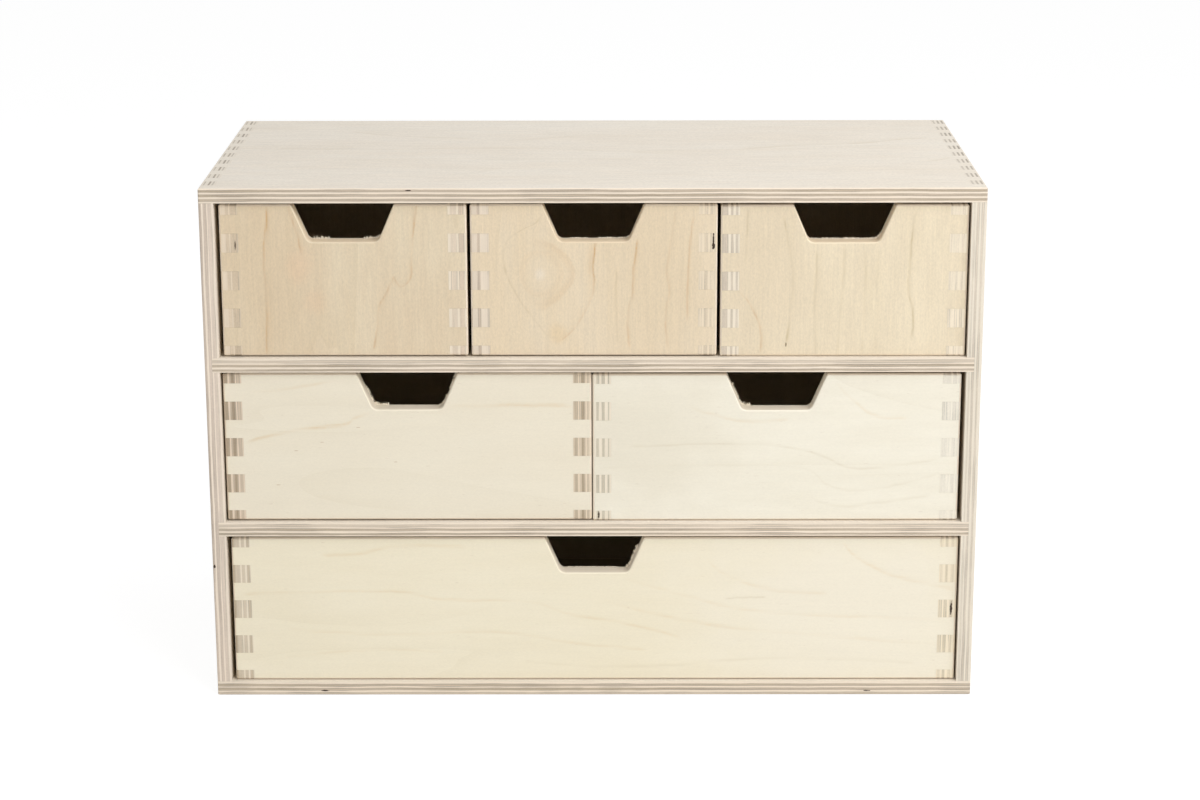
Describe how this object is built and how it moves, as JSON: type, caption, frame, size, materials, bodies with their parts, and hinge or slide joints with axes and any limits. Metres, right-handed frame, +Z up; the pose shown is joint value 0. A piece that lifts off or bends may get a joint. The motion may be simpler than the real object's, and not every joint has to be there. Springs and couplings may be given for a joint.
{
  "type": "mini drawer chest",
  "caption": "Desktop chest of plywood drawers: finger-jointed case, housed shelves and pull-out box drawers with finger notches.",
  "frame": {"origin": "under the middle of the case, on the surface it stands on", "axes": "+X along the width to the viewer's right, +Y towards the back, +Z up; the drawers open along -Y"},
  "size_m": [0.42, 0.2, 0.2885],
  "materials": {
    "case_plywood": "sanded, satin",
    "back_plywood": "sanded, satin",
    "small_drawer_plywood": "sanded, satin",
    "medium_drawer_plywood": "sanded, satin",
    "wide_drawer_plywood": "sanded, satin",
    "drawer_back_plywood": "sanded, satin",
    "drawer_bottom_plywood": "sanded, satin"
  },
  "bodies": {
    "case": {"case_top": "case_plywood", "case_bottom": "case_plywood", "case_left_side": "case_plywood", "case_right_side": "case_plywood", "upper_shelf": "case_plywood", "lower_shelf": "case_plywood", "back_panel": "back_plywood"},
    "wide_drawer": {"wide_drawer_front": "wide_drawer_plywood", "wide_drawer_back": "drawer_back_plywood", "wide_drawer_left_side": "wide_drawer_plywood", "wide_drawer_right_side": "wide_drawer_plywood", "wide_drawer_bottom": "drawer_bottom_plywood"},
    "medium_drawer_1": {"medium_drawer_1_front": "medium_drawer_plywood", "medium_drawer_1_back": "drawer_back_plywood", "medium_drawer_1_left_side": "medium_drawer_plywood", "medium_drawer_1_right_side": "medium_drawer_plywood", "medium_drawer_1_bottom": "drawer_bottom_plywood"},
    "medium_drawer_2": {"medium_drawer_2_front": "medium_drawer_plywood", "medium_drawer_2_back": "drawer_back_plywood", "medium_drawer_2_left_side": "medium_drawer_plywood", "medium_drawer_2_right_side": "medium_drawer_plywood", "medium_drawer_2_bottom": "drawer_bottom_plywood"},
    "small_drawer_1": {"small_drawer_1_front": "small_drawer_plywood", "small_drawer_1_back": "drawer_back_plywood", "small_drawer_1_left_side": "small_drawer_plywood", "small_drawer_1_right_side": "small_drawer_plywood", "small_drawer_1_bottom": "drawer_bottom_plywood"},
    "small_drawer_2": {"small_drawer_2_front": "small_drawer_plywood", "small_drawer_2_back": "drawer_back_plywood", "small_drawer_2_left_side": "small_drawer_plywood", "small_drawer_2_right_side": "small_drawer_plywood", "small_drawer_2_bottom": "drawer_bottom_plywood"},
    "small_drawer_3": {"small_drawer_3_front": "small_drawer_plywood", "small_drawer_3_back": "drawer_back_plywood", "small_drawer_3_left_side": "small_drawer_plywood", "small_drawer_3_right_side": "small_drawer_plywood", "small_drawer_3_bottom": "drawer_bottom_plywood"}
  },
  "joints": [
    {"name": "wide_drawer_slide", "type": "slide", "parent": "case", "child": "wide_drawer", "axis": [0, -1, 0], "range_m": [0, 0.15]},
    {"name": "medium_drawer_1_slide", "type": "slide", "parent": "case", "child": "medium_drawer_1", "axis": [0, -1, 0], "range_m": [0, 0.15]},
    {"name": "medium_drawer_2_slide", "type": "slide", "parent": "case", "child": "medium_drawer_2", "axis": [0, -1, 0], "range_m": [0, 0.15]},
    {"name": "small_drawer_1_slide", "type": "slide", "parent": "case", "child": "small_drawer_1", "axis": [0, -1, 0], "range_m": [0, 0.15]},
    {"name": "small_drawer_2_slide", "type": "slide", "parent": "case", "child": "small_drawer_2", "axis": [0, -1, 0], "range_m": [0, 0.15]},
    {"name": "small_drawer_3_slide", "type": "slide", "parent": "case", "child": "small_drawer_3", "axis": [0, -1, 0], "range_m": [0, 0.15]}
  ]
}
